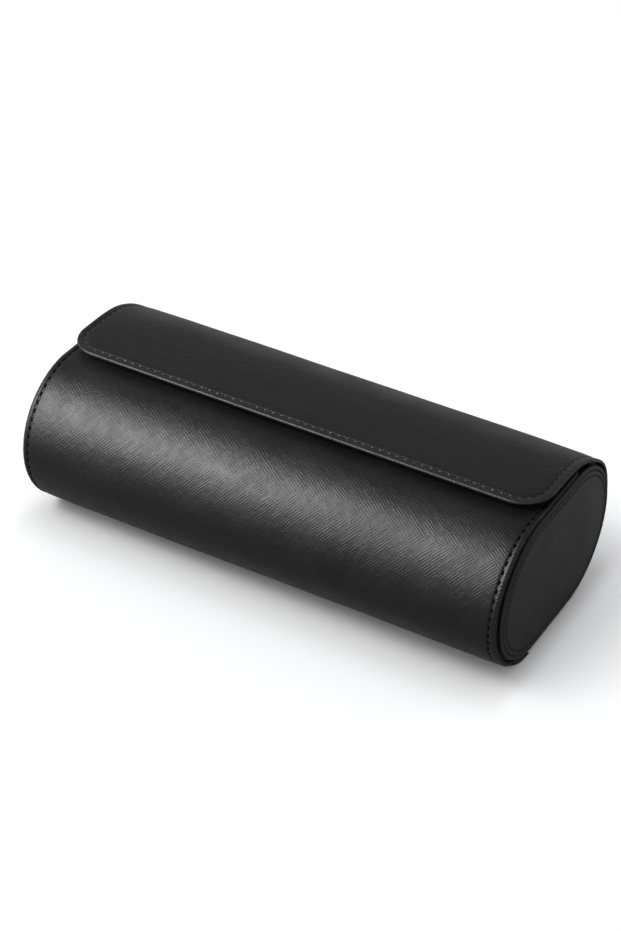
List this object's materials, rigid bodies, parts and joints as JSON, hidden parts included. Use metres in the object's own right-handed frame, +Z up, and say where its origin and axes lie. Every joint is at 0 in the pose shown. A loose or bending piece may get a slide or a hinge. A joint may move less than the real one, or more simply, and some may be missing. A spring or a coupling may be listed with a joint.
{
  "type": "watch travel case",
  "caption": "Rolled travel case for wristwatches: padded oval tray with watch pillows, wrapped by a hinged front panel and a magnetic flap.",
  "frame": {"origin": "middle of the closed case's footprint, on the surface it rests on", "axes": "+X along the roll, front panel towards -Y, +Z up"},
  "size_m": [0.2036, 0.0924, 0.0654],
  "materials": {
    "saffiano_leatherette": "cross-hatched grain, satin",
    "smooth_leatherette": "fine smooth grain, satin",
    "rim_leatherette": "rolled bead, satin",
    "suede_lining": "short brushed nap",
    "pillow_suede": "short brushed nap",
    "foam": "open-cell foam",
    "greyboard": "plain",
    "nickel_plate": "bright nickel",
    "keeper_steel": "plain rolled steel"
  },
  "bodies": {
    "case_body": {"base_board": "greyboard", "base_cover": "saffiano_leatherette", "heel_board": "greyboard", "heel_cover": "saffiano_leatherette", "back_board": "greyboard", "back_cover": "saffiano_leatherette", "back_lining": "suede_lining", "flap_fold": "saffiano_leatherette", "front_fold": "saffiano_leatherette", "tray_floor": "greyboard", "tray_front_wall": "greyboard", "tray_back_wall": "greyboard", "floor_lining": "suede_lining", "front_wall_lining": "suede_lining", "back_wall_lining": "suede_lining", "wall_beads": "smooth_leatherette", "divider_left": "greyboard", "divider_right": "greyboard", "divider_linings_left": "suede_lining", "divider_linings_right": "suede_lining", "end_board_left": "greyboard", "end_board_right": "greyboard", "end_lining_left": "suede_lining", "end_lining_right": "suede_lining", "end_pad_left": "smooth_leatherette", "end_pad_right": "smooth_leatherette", "end_rim_left": "rim_leatherette", "end_rim_right": "rim_leatherette"},
    "flap": {"flap_cover": "saffiano_leatherette", "flap_board": "greyboard", "flap_lining": "suede_lining", "flap_magnets": "nickel_plate"},
    "front_panel": {"front_cover": "saffiano_leatherette", "front_board": "greyboard", "front_lining": "suede_lining", "front_keepers": "keeper_steel"},
    "pillow_left": {"pillow_core_left": "foam", "pillow_sleeve_left": "pillow_suede", "pillow_ends_left": "pillow_suede"},
    "pillow_middle": {"pillow_core_middle": "foam", "pillow_sleeve_middle": "pillow_suede", "pillow_ends_middle": "pillow_suede"},
    "pillow_right": {"pillow_core_right": "foam", "pillow_sleeve_right": "pillow_suede", "pillow_ends_right": "pillow_suede"}
  },
  "joints": [
    {"name": "flap_hinge", "type": "hinge", "parent": "case_body", "child": "flap", "pos_m": [0, 0.04316, 0.04717], "axis": [-1, 0, 0], "range_deg": [0, 175], "deforming": ["flap_fold"]},
    {"name": "front_panel_hinge", "type": "hinge", "parent": "case_body", "child": "front_panel", "pos_m": [0, -0.03327, 0.00537], "axis": [1, 0, 0], "range_deg": [0, 68.5], "deforming": ["front_fold"]},
    {"name": "pillow_left_lift", "type": "slide", "parent": "case_body", "child": "pillow_left", "axis": [0, 0, 1], "range_m": [0, 0.012]},
    {"name": "pillow_middle_lift", "type": "slide", "parent": "case_body", "child": "pillow_middle", "axis": [0, 0, 1], "range_m": [0, 0.012]},
    {"name": "pillow_right_lift", "type": "slide", "parent": "case_body", "child": "pillow_right", "axis": [0, 0, 1], "range_m": [0, 0.012]}
  ],
  "couplings": [
    {"joint": "front_panel_hinge", "follows": "flap_hinge", "ratio": 0.39}
  ]
}
